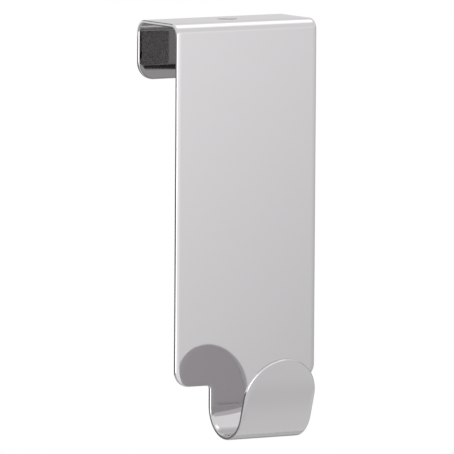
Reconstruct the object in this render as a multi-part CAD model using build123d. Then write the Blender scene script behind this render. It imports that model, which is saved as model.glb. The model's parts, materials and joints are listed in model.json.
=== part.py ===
from build123d import *
import os

# Over-door coat hook, folded from one strip of polished stainless steel sheet.
# X runs across the strip, Y from the front plate to the back leg, Z up.
# The origin is the centre of the web's underside, where the hook sits on the door.

# Sheet
strip_width = 50.0
sheet_thickness = 1.25
cut_edge_radius = 0.4

# Clamp that goes over the door: back leg, web and front plate
door_gap = 21.0
back_leg_length = 17.3
back_leg_corner_radius = 5.5
back_bend_radius = 2.8
front_bend_radius = 2.2
screw_hole_diameter = 6.0
screw_hole_edge_radius = 0.2
plate_length = 109.3
plate_corner_radius = 5.0

# Tongue that curls forward from the plate's lower edge to carry the coat
tongue_width = 25.0
tongue_root_radius = 1.0
tongue_drop = 6.0
throat_radius = 8.5
curl_angle = 163.0
tongue_rise = 6.8

leg_face = door_gap / 2
plate_face = -door_gap / 2
leg_end = -back_leg_length
shoulder = -plate_length

# The rounding of both edges of the sheet leaves a flat between them
widest_edge_radius = 0.45 * sheet_thickness

# The door-side face of the sheet, drawn from the side as (Y, Z). The clamp's line runs
# from the leg's end to the shoulder, the tongue's line down from there and round its curl.
leg_run = Line((leg_face, leg_end), (leg_face, -back_bend_radius))
back_bend = JernArc(leg_run @ 1, leg_run % 1, back_bend_radius, 90)
web_run = Line(back_bend @ 1, (plate_face + front_bend_radius, 0))
front_bend = JernArc(web_run @ 1, web_run % 1, front_bend_radius, 90)
plate_run = Line(front_bend @ 1, (plate_face, shoulder))
clamp_line = Curve() + [leg_run, back_bend, web_run, front_bend, plate_run]

drop_run = PolarLine(plate_run @ 1, tongue_drop, direction=plate_run % 1)
curl = JernArc(drop_run @ 1, drop_run % 1, throat_radius + sheet_thickness, -curl_angle)
rise_run = PolarLine(curl @ 1, tongue_rise, direction=curl % 1)
tongue_line = Curve() + [drop_run, curl, rise_run]


def folded_strip(door_side_line, width):
    """Sheet of the given width that follows the line, with its thickness on the far side."""
    outline = offset(door_side_line, sheet_thickness, side=Side.RIGHT)
    section = Plane.YZ * make_face(outline.edges())
    return extrude(section, amount=width / 2, both=True)


def edges_through_sheet(part, height):
    """Edges that run through the upright sheet from face to face at the given height."""
    return part.edges().filter_by(Axis.Y).filter_by_position(Axis.Z, height - 0.01, height + 0.01)


def sharp_edges(part):
    """Edges where two faces meet at an angle, unlike those where one runs on into the next."""
    sharp = ShapeList()
    for edge in part.edges():
        normals = [face.normal_at(edge @ 0.5) for face in part.faces() if edge in face.edges()]
        if normals[0].get_angle(normals[-1]) > 1:
            sharp.append(edge)
    return sharp


# Back leg, web and front plate, with the free corners rounded
clamp = folded_strip(clamp_line, strip_width)
clamp = fillet(edges_through_sheet(clamp, leg_end), back_leg_corner_radius)
clamp = fillet(edges_through_sheet(clamp, shoulder), plate_corner_radius)

# Screw hole through the middle of the web, with its burr taken off
drilled = clamp - Cylinder(screw_hole_diameter / 2, 3 * sheet_thickness)
hole_rims = new_edges(clamp, combined=drilled).filter_by(GeomType.CIRCLE)
clamp = fillet(hole_rims, min(screw_hole_edge_radius, widest_edge_radius))

# Half round that ends the tongue, cut square through the leaning sheet
rise_top = Plane.YZ.from_local_coords(rise_run @ 1)
rise_direction = Plane.YZ.from_local_coords(rise_run % 1)
rise_plane = Plane(origin=rise_top, x_dir=(-1, 0, 0), z_dir=rise_direction.cross(Vector(1, 0, 0)))
end_arc = CenterArc((0, 0), tongue_width / 2, 0, 180)
half_round = rise_plane * make_face([end_arc, Line(end_arc @ 1, end_arc @ 0)])
tongue = folded_strip(tongue_line, tongue_width) + extrude(half_round, sheet_thickness)

# One strip, with a small radius where the tongue leaves the plate's lower edge
hook_strip = clamp + tongue
tongue_roots = edges_through_sheet(hook_strip, shoulder).filter_by_position(
    Axis.X, -tongue_width / 2 - 0.01, tongue_width / 2 + 0.01
)
hook_strip = fillet(tongue_roots, tongue_root_radius)

# Every cut edge is tumbled round
hook_strip = fillet(sharp_edges(hook_strip), min(cut_edge_radius, widest_edge_radius))

os.makedirs("parts", exist_ok=True)
export_step(hook_strip, "parts/hook_strip.step")
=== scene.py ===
import json
import math

import bmesh
import bpy
from mathutils import Matrix, Quaternion, Vector


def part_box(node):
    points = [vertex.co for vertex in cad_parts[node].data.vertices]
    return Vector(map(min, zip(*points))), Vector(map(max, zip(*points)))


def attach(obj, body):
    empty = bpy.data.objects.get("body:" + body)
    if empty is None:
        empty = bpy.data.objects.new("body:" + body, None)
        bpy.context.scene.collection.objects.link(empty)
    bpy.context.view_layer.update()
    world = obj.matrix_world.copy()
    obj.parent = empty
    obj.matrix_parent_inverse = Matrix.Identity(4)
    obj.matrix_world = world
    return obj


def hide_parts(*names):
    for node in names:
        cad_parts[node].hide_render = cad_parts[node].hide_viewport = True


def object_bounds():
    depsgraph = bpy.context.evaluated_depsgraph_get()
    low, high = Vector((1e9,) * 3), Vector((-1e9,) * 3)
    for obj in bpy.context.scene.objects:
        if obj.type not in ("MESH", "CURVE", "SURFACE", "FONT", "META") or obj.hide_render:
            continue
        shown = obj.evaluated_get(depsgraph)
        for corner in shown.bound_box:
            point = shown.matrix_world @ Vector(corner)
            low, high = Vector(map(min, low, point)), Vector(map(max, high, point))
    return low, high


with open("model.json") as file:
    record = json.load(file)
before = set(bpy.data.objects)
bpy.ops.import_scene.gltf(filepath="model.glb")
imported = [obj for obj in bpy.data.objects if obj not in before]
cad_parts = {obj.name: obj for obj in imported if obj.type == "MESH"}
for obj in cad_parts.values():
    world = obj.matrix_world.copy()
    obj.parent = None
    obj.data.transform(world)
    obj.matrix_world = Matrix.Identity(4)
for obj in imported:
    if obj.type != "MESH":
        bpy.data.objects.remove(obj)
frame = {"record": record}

cad_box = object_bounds()

# Hook strip. One strip of stainless steel sheet, cut to its outline, drilled in the middle
# of the web, tumbled until its cut edges are round, then mirror polished.
# It is folded square twice to go over the door and curled forward into the hook.
mm = 0.001
mounts = {mount["name"]: mount for mount in frame["record"]["mounts"]}
strip_low, strip_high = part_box("hook_strip")
strip_width = strip_high.x - strip_low.x
sheet_thickness = strip_high.z
leg_face = mounts["leg_face"]["pos_m"][1]
plate_face = mounts["door_face"]["pos_m"][1]
hole_radius = mounts["screw_hole"]["dims"]["r_mm"] * mm
throat_radius = mounts["hook_seat"]["dims"]["r_mm"] * mm

back_leg_length = 17.3 * mm
back_leg_corner_radius = 5.5 * mm
back_bend_radius = 2.8 * mm
front_bend_radius = 2.2 * mm
plate_length = 109.3 * mm
plate_corner_radius = 5.0 * mm
tongue_width = 25.0 * mm
tongue_root_radius = 1.0 * mm
tongue_drop = 6.0 * mm
curl_angle = math.radians(163)
tongue_rise = 6.8 * mm
cut_edge_radius = 0.4 * mm
hole_edge_radius = 0.2 * mm
edge_roll_width = 1.2 * mm
hole_roll_width = 0.5 * mm
roll_slope = math.radians(3)
square_bend = math.radians(90)

# Lines across the flat blank, as Y, with the web where it stays when the rest is folded
back_line = leg_face - back_bend_radius
leg_end_line = back_line + square_bend * back_bend_radius + back_leg_length - back_bend_radius
front_line = plate_face + front_bend_radius
shoulder_line = front_line - square_bend * front_bend_radius - (plate_length - front_bend_radius)
curl_line = shoulder_line - tongue_drop
curl_radius = throat_radius + sheet_thickness
tip_line = curl_line - curl_angle * curl_radius - tongue_rise - tongue_width / 2


def rounded_outline(corners):
    """Points round the blank, anticlockwise, each with the way out of the sheet there."""
    outline = []
    for index, (corner, radius) in enumerate(corners):
        arrive = (corner - corners[index - 1][0]).normalized()
        leave = (corners[(index + 1) % len(corners)][0] - corner).normalized()
        turn = arrive.cross(leave)
        centre = corner + (leave - arrive) * radius
        steps = max(6, round(radius / (0.3 * mm))) if radius else 0
        for step in range(steps + 1):
            heading = arrive.copy()
            heading.rotate(Matrix.Rotation(turn * square_bend * step / max(steps, 1), 2))
            outward = Vector((heading.y, -heading.x))
            point = centre + outward * radius * turn
            if not outline or (point - outline[-1][0]).length > 0.001 * mm:
                outline.append((point, outward))
    return outline


def rounded_edge(radius, roll_width, steps=5):
    """Section of a tumbled edge, from the door-side face up: inset, height, facing out and up.
    Each face of the sheet rolls off very gently before the tight rounding starts."""
    roll_depth = roll_width * roll_slope / 2
    roll_start = radius - radius * math.sin(roll_slope)
    upper_half = []
    for step in range(steps + 1):
        angle = (square_bend - roll_slope) * step / steps
        out, up = math.cos(angle), math.sin(angle)
        height = sheet_thickness - roll_depth - radius * math.cos(roll_slope) + radius * up
        upper_half.append((radius - radius * out, height, out, up))
    for step in range(1, steps + 1):
        rest = 1 - step / steps
        slope = roll_slope * rest
        inset = roll_start + roll_width * (1 - rest)
        height = sheet_thickness - roll_depth * rest * rest
        upper_half.append((inset, height, math.sin(slope), math.cos(slope)))
    lower_half = [(inset, sheet_thickness - height, out, -up) for inset, height, out, up in upper_half]
    return lower_half[::-1] + upper_half


blank = bmesh.new()
facing_layer = blank.verts.layers.float_vector.new("facing")
# Marks the door side, for its clearer finish and for its darker tone, which is painted shade.
door_finish_and_shade_layer = blank.verts.layers.float.new("door_side")
cut_layer = blank.verts.layers.float.new("cut_edge")
bore_layer = blank.verts.layers.float.new("bore")


def edge_wall(outline, radius, roll_width, bored=0.0):
    """Makes the cut edge along an outline and returns its rims on the two faces of the sheet."""
    rims = []
    for inset, height, out, up in rounded_edge(radius, roll_width):
        rim = []
        for point, outward in outline:
            x, y = point - outward * inset
            vertex = blank.verts.new((x, y, height))
            vertex[facing_layer] = (outward.x * out, outward.y * out, up)
            vertex[door_finish_and_shade_layer] = max(-up, 0.0)
            vertex[cut_layer] = out
            vertex[bore_layer] = out * bored
            rim.append(vertex)
        rims.append(rim)
    for lower, upper in zip(rims, rims[1:]):
        for i in range(len(lower)):
            blank.faces.new((lower[i - 1], lower[i], upper[i], upper[i - 1]))
    return rims[0], rims[-1]


half_strip, half_tongue = strip_width / 2, tongue_width / 2
blank_outline = rounded_outline([
    (Vector((half_strip, 0)), 0),
    (Vector((half_strip, leg_end_line)), back_leg_corner_radius),
    (Vector((-half_strip, leg_end_line)), back_leg_corner_radius),
    (Vector((-half_strip, 0)), 0),
    (Vector((-half_strip, shoulder_line)), plate_corner_radius),
    (Vector((-half_tongue, shoulder_line)), tongue_root_radius),
    (Vector((-half_tongue, tip_line)), half_tongue),
    (Vector((half_tongue, tip_line)), half_tongue),
    (Vector((half_tongue, shoulder_line)), tongue_root_radius),
    (Vector((half_strip, shoulder_line)), plate_corner_radius),
])
hole_steps = 72
hole_outline = []
for step in range(hole_steps):
    angle = -2 * math.pi * step / hole_steps
    radial = Vector((math.cos(angle), math.sin(angle)))
    hole_outline.append((radial * hole_radius, -radial))

# Each face of the sheet is filled in two halves that meet on the line through the hole


def nearness_to_far_side(index):
    """Largest for the outline's point in the middle of the strip's left edge."""
    point = blank_outline[index][0]
    return -point.x - abs(point.y)


far_side = max(range(len(blank_outline)), key=nearness_to_far_side)
outer_rims = edge_wall(blank_outline, cut_edge_radius, edge_roll_width)
hole_rims = edge_wall(hole_outline, hole_edge_radius, hole_roll_width, bored=1.0)
for outer, hole, flip in zip(outer_rims, hole_rims, (True, False)):
    leg_half = outer[: far_side + 1] + hole[hole_steps // 2 :] + hole[:1]
    plate_half = outer[far_side:] + outer[:1] + hole[: hole_steps // 2 + 1]
    for half in (leg_half, plate_half):
        blank.faces.new(half[::-1] if flip else half)

# Cuts across the blank let each bend turn in steps of three degrees
bends = [
    (back_line, 1, back_bend_radius, square_bend),
    (front_line, -1, front_bend_radius, square_bend),
    (curl_line, -1, curl_radius, curl_angle),
]
bend_step = math.radians(3)
for line, way, radius, angle in bends:
    steps = math.ceil(angle / bend_step)
    for step in range(steps + 1):
        bmesh.ops.bisect_plane(
            blank,
            geom=blank.verts[:] + blank.edges[:] + blank.faces[:],
            dist=0.0001 * mm,
            plane_co=(0, line + way * radius * angle * step / steps, 0),
            plane_no=(0, 1, 0),
        )

# Only the clamp's inside and the plate's back keep the door side's clearer finish and its darker tone,
# which is painted shade. It fades out down the drop of the tongue, whose outer face is the same side of
# the sheet.
for vertex in blank.verts:
    vertex[door_finish_and_shade_layer] *= min(max((vertex.co.y - curl_line) / tongue_drop, 0.0), 1.0)
strip_mesh = bpy.data.meshes.new("folded_strip")
blank.to_mesh(strip_mesh)
blank.free()
strip = bpy.data.objects.new("folded_strip", strip_mesh)
bpy.context.collection.objects.link(strip)


class Wire:
    """One socket of a node tree. Sums written on it add their own maths nodes."""

    def __init__(self, tree, socket=None):
        self.tree = tree
        self.socket = socket

    def node(self, kind, settings=None, sockets=None, output=0):
        """Adds a node: first its settings, then its sockets' values or wires. Gives an output."""
        node = self.tree.nodes.new(kind)
        for name, value in (settings or {}).items():
            setattr(node, name, value)
        for key, value in (sockets or {}).items():
            if isinstance(value, Wire):
                self.tree.links.new(value.socket, node.inputs[key])
            else:
                node.inputs[key].default_value = value
        return Wire(self.tree, node.outputs[output] if node.outputs else None)

    def maths(self, operation, first, second):
        """Adds a Math node, or a Vector Math node where one of the values is a vector."""
        vector = any(isinstance(v, Wire) and v.socket.type == "VECTOR" for v in (first, second))
        kind = "ShaderNodeVectorMath" if vector else "ShaderNodeMath"
        return self.node(kind, {"operation": operation}, {0: first, 1: second})

    def __add__(self, other):
        return self.maths("ADD", self, other)

    def __sub__(self, other):
        return self.maths("SUBTRACT", self, other)

    def __rsub__(self, other):
        return self.maths("SUBTRACT", other, self)

    def __mul__(self, other):
        return self.maths("MULTIPLY", self, other)

    def __truediv__(self, other):
        return self.maths("DIVIDE", self, other)

    __radd__ = __add__
    __rmul__ = __mul__

    def limited(self, low, high):
        """The value kept between two limits."""
        return self.maths("MINIMUM", self.maths("MAXIMUM", self, low), high)


# Polished stainless steel: a clear mirror with the faint haze and waviness of a buffed sheet.
# The door side is clearer but less bright, its darker tone being painted shade inside the clamp, and the
# hole's drilled wall is dull.
outer_silver = (0.628, 0.615, 0.625, 1.0)
# A darker copy of the silver, painted shade for the clamp's inside and the plate's back.
door_side_shaded_silver = (0.505, 0.495, 0.50, 1.0)
steel = bpy.data.materials.new("polished_stainless")
steel.use_nodes = True
steel.node_tree.nodes.clear()
wire = Wire(steel.node_tree)
place = wire.node("ShaderNodeTexCoord", output="Object")
haze = wire.node("ShaderNodeTexNoise", {}, {"Vector": place, "Scale": 70.0, "Detail": 3.0})
along_strip = wire.node("ShaderNodeMapping", {}, {"Vector": place, "Scale": (9000.0, 9000.0, 90.0)})
buffing = wire.node("ShaderNodeTexNoise", {}, {"Vector": along_strip, "Scale": 1.0, "Detail": 2.0})
cut_edge = wire.node("ShaderNodeAttribute", {"attribute_name": "cut_edge"}, output="Fac")
bore = wire.node("ShaderNodeAttribute", {"attribute_name": "bore"}, output="Fac")
door_side = wire.node("ShaderNodeAttribute", {"attribute_name": "door_side"}, output="Fac")
roughness = 0.03 + haze * 0.03 + buffing * 0.02 + cut_edge * 0.04 + bore * 0.30 - door_side * 0.03
# The door side's darker tone is painted shade.
tone = wire.node(
    "ShaderNodeMix",
    {"data_type": "RGBA"},
    {"Factor": door_side, "A": outer_silver, "B": door_side_shaded_silver},
    output="Result",
)
waviness = wire.node("ShaderNodeTexNoise", {}, {"Vector": place, "Scale": 45.0, "Detail": 1.0})
waves = wire.node("ShaderNodeBump", {}, {"Strength": 1.0, "Distance": 0.006 * mm, "Height": waviness})
shader = wire.node("ShaderNodeBsdfPrincipled", {}, {
    "Base Color": tone,
    "Metallic": 1.0,
    "Roughness": roughness,
    "Normal": waves,
})
wire.node("ShaderNodeOutputMaterial", {}, {"Surface": shader})

# The fold. What lies past a bend line rolls round the bend's centre, furthest bend first.
fold = bpy.data.node_groups.new("fold_strip", "GeometryNodeTree")
fold_sizes = {
    "Back bend line": back_line,
    "Back bend radius": back_bend_radius,
    "Front bend line": front_line,
    "Front bend radius": front_bend_radius,
    "Square bend": square_bend,
    "Curl line": curl_line,
    "Curl radius": curl_radius,
    "Curl angle": curl_angle,
}
fold.interface.new_socket("Geometry", in_out="INPUT", socket_type="NodeSocketGeometry")
for name in fold_sizes:
    fold.interface.new_socket(name, in_out="INPUT", socket_type="NodeSocketFloat")
fold.interface.new_socket("Finish", in_out="INPUT", socket_type="NodeSocketMaterial")
fold.interface.new_socket("Geometry", in_out="OUTPUT", socket_type="NodeSocketGeometry")
wire = Wire(fold)
group_input = fold.nodes.new("NodeGroupInput")
given = {socket.name: Wire(fold, socket) for socket in group_input.outputs}
place = wire.node("GeometryNodeInputPosition")
facing = wire.node(
    "GeometryNodeInputNamedAttribute", {"data_type": "FLOAT_VECTOR"}, {"Name": "facing"}
)
flat_line = wire.node("ShaderNodeSeparateXYZ", {}, {"Vector": place}, output="Y")
for line, way, radius, angle, lift in (
    ("Curl line", -1, "Curl radius", "Curl angle", 1),
    ("Front bend line", -1, "Front bend radius", "Square bend", -1),
    ("Back bend line", 1, "Back bend radius", "Square bend", -1),
):
    past = (flat_line - given[line]) * way
    turn = (past / given[radius]).limited(0.0, given[angle])
    used = wire.node("ShaderNodeCombineXYZ", {}, {"Y": turn * given[radius] * way})
    centre = wire.node("ShaderNodeCombineXYZ", {}, {"Y": given[line], "Z": given[radius] * lift})
    roll = {"Angle": turn * (way * lift)}
    place = wire.node(
        "ShaderNodeVectorRotate",
        {"rotation_type": "X_AXIS"},
        {"Vector": place - used, "Center": centre, **roll},
    )
    facing = wire.node("ShaderNodeVectorRotate", {"rotation_type": "X_AXIS"}, {"Vector": facing, **roll})
shaded = wire.node(
    "GeometryNodeSetMeshNormal",
    {"mode": "FREE", "domain": "POINT"},
    {"Mesh": given["Geometry"], "Custom Normal": facing},
)
folded = wire.node("GeometryNodeSetPosition", {}, {"Geometry": shaded, "Position": place})
smooth = wire.node("GeometryNodeSetShadeSmooth", {}, {"Geometry": folded})
real = wire.node("GeometryNodeRealizeInstances", {}, {"Geometry": smooth})
finished = wire.node("GeometryNodeSetMaterial", {}, {"Geometry": real, "Material": given["Finish"]})
wire.node("NodeGroupOutput", {}, {"Geometry": finished})

modifier = strip.modifiers.new("fold", "NODES")
modifier.node_group = fold
for socket in fold.interface.items_tree:
    if socket.in_out == "INPUT" and socket.name in fold_sizes:
        modifier[socket.identifier] = fold_sizes[socket.name]
    if socket.in_out == "INPUT" and socket.name == "Finish":
        modifier[socket.identifier] = steel
depsgraph = bpy.context.evaluated_depsgraph_get()
folded_mesh = bpy.data.meshes.new_from_object(strip.evaluated_get(depsgraph), depsgraph=depsgraph)
strip.modifiers.remove(modifier)
strip.data = folded_mesh
folded_mesh.attributes.remove(folded_mesh.attributes["facing"])
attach(strip, "root")
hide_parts("hook_strip")

# Floor. A round pale sheet, matt all over. It lies well below the hook, because the hook
# hangs from the door's top edge, and it takes the hook's shadow.
floor_depth = 0.45
floor_radius = 2.4
floor_mesh = bpy.data.meshes.new("floor")
disc = bmesh.new()
bmesh.ops.create_circle(
    disc,
    cap_ends=True,
    radius=floor_radius,
    segments=96,
    matrix=Matrix.Translation((0, 0, -floor_depth)),
)
disc.to_mesh(floor_mesh)
disc.free()
floor = bpy.data.objects.new("floor", floor_mesh)
bpy.context.collection.objects.link(floor)
pale = bpy.data.materials.new("pale_floor")
pale.use_nodes = True
pale.node_tree.nodes.clear()
wire = Wire(pale.node_tree)
paint = wire.node("ShaderNodeBsdfDiffuse", {}, {"Color": (0.78, 0.78, 0.78, 1.0)})
wire.node("ShaderNodeOutputMaterial", {}, {"Surface": paint})
floor_mesh.materials.append(pale)

# Studio cards. Polished metal shows only what stands round it, so pale boards give the faces
# their tone, and dark ones draw the cut edges and the inside of the clamp.
object_centre = (cad_box[0] + cad_box[1]) / 2


def card(name, centre, width, height, level_of, lying=False):
    """Glowing board, seen only in reflections. It stands and faces the hook, or lies flat."""
    board = bmesh.new()
    towards = Vector((object_centre.x - centre[0], object_centre.y - centre[1], 0))
    turned = Matrix.Identity(4) if lying else towards.to_track_quat("Z", "Y").to_matrix().to_4x4()
    size = Matrix.Diagonal((width, height, 1, 1))
    placed = Matrix.Translation(centre) @ turned @ size
    bmesh.ops.create_grid(board, x_segments=1, y_segments=1, size=0.5, matrix=placed)
    mesh = bpy.data.meshes.new(name)
    board.to_mesh(mesh)
    board.free()
    object_ = bpy.data.objects.new(name, mesh)
    bpy.context.collection.objects.link(object_)
    finish = bpy.data.materials.new(name)
    finish.use_nodes = True
    finish.node_tree.nodes.clear()
    tree = Wire(finish.node_tree)
    spot = tree.node("ShaderNodeTexCoord", output="Object")
    x, y, z = (tree.node("ShaderNodeSeparateXYZ", {}, {"Vector": spot}, output=i) for i in "XYZ")
    glow = tree.node("ShaderNodeEmission", {}, {"Strength": level_of(x, y, z)})
    tree.node("ShaderNodeOutputMaterial", {}, {"Surface": glow})
    mesh.materials.append(finish)
    object_.visible_camera = False


def front_scrim(x, y, z):
    """Cloth lit from its upper left, so it fades to the right and downwards."""
    middle = 1.02
    fade_down = ((z + 0.09) * 1.55).limited(-0.5, 0.03)
    glow_on_top = (z - 0.10).limited(0.0, 0.13)
    fade_right = (0.40 - x) * 2.2
    glow_on_left = ((0.375 - x) * 3).limited(0.0, 0.3)
    return (middle + (fade_down + glow_on_top) + (fade_right + glow_on_left)).limited(0.72, 1.40)


def overhead_box(x, y, z):
    """Soft box, brightest along its middle, that fades to plain white at its ends."""
    middle, half_length = 0.037, 0.20
    off = (y - middle) / half_length
    return 1 + (1 - off * off).limited(0.0, 1.0) * 0.75


def table_sheet(x, y, z):
    """Pale sheet with the painted shade of one soft crease across it."""
    shade_line, half_width = -0.398, 0.008
    off = (y - shade_line) / half_width
    # The dip along the line is painted shade.
    return 0.80 - (1 - off * off).limited(0.0, 1.0) * 0.09


def plain(level):
    """One even level over the whole board."""
    return lambda x, y, z: level


card("scrim_front_right", (0.40, -0.66, -0.12), 0.9, 0.9, front_scrim)
card("board_back_right", (0.60, 0.90, 0.27), 0.95, 0.5, plain(0.77))
card("board_right", (0.95, -0.05, -0.05), 0.9, 0.9, plain(0.45))
card("bar_behind", (0.050, 0.088, -0.0244), 0.03, 0.0038, plain(0.06))
card("flag_by_leg", (-0.078, 0.096, -0.035), 0.05, 0.046, plain(0.20))
card("flag_back", (0.03, 0.60, -0.20), 0.42, 0.40, plain(0.22))
card("flag_back_low", (-0.31, 0.60, -0.245), 0.36, 0.31, plain(0.20))
card("flag_back_high", (-0.15, 0.60, 0.30), 0.60, 0.30, plain(0.25))
card("flag_back_left", (-0.615, 0.527, -0.215), 0.42, 0.37, plain(0.20))
card("flag_left", (-0.85, 0.05, -0.26), 0.72, 0.31, plain(0.20))
just_above_floor = 0.01 - floor_depth
card("mat_behind", (0.36, 0.55, just_above_floor), 0.50, 0.44, plain(0.40), lying=True)
card("sheet_below", (0.35, -0.30, just_above_floor), 0.70, 0.80, table_sheet, lying=True)
card("box_overhead", (0.195, 0.037, 0.35), 0.15, 0.40, overhead_box, lying=True)


# Lamps. Two broad soft ones stand to the left of the hook and in front of it, turned to it.
def lamp(name, place, width, height, level):
    """Soft area lamp of a given brightness, turned to the hook."""
    light = bpy.data.lights.new(name, "AREA")
    light.shape = "RECTANGLE"
    light.size, light.size_y = width, height
    light.energy = math.pi * width * height * level
    object_ = bpy.data.objects.new(name, light)
    bpy.context.collection.objects.link(object_)
    object_.location = place
    object_.rotation_euler = (object_centre - Vector(place)).to_track_quat("-Z", "Y").to_euler()
    object_.visible_camera = False


lamp("lamp_left", (-1.05, -0.55, -0.08), 0.7, 0.6, 1.8)
lamp("lamp_front", (-0.62, -0.95, -0.08), 0.8, 0.6, 1.8)

# World. White wherever the camera, a reflection or glass looks, and a little less as light.
world = bpy.data.worlds.new("studio")
bpy.context.scene.world = world
world.use_nodes = True
world.node_tree.nodes.clear()
wire = Wire(world.node_tree)
rays = wire.node("ShaderNodeLightPath", output="Is Camera Ray")
glossy = wire.node("ShaderNodeLightPath", output="Is Glossy Ray")
through = wire.node("ShaderNodeLightPath", output="Is Transmission Ray")
seen = (rays + glossy + through).limited(0.0, 1.0)
world_light = 0.85
background = wire.node("ShaderNodeBackground", {}, {
    "Color": (1.0, 1.0, 1.0, 1.0),
    "Strength": world_light + seen * (1 - world_light),
})
wire.node("ShaderNodeOutputWorld", {}, {"Surface": background})

# Camera. It stands to the front left of the hook and a little above it, with a long lens.
camera_turn = math.radians(32.09)
camera_rise = math.radians(5.81)
camera_roll = math.radians(0.36)
camera_distance = 3.333
view_width = 0.13786
aim = Vector((-6.9, -11.8, -61.1)) * mm
look = Vector((
    math.sin(camera_turn) * math.cos(camera_rise),
    math.cos(camera_turn) * math.cos(camera_rise),
    -math.sin(camera_rise),
))
camera_data = bpy.data.cameras.new("camera")
camera_data.lens = camera_data.sensor_width * camera_distance / view_width
camera = bpy.data.objects.new("camera", camera_data)
bpy.context.collection.objects.link(camera)
camera.location = aim - look * camera_distance
level_view = look.to_track_quat("-Z", "Y")
camera.rotation_euler = (level_view @ Quaternion((0, 0, 1), camera_roll)).to_euler()
bpy.context.scene.camera = camera
bpy.context.scene.view_settings.view_transform = "Standard"
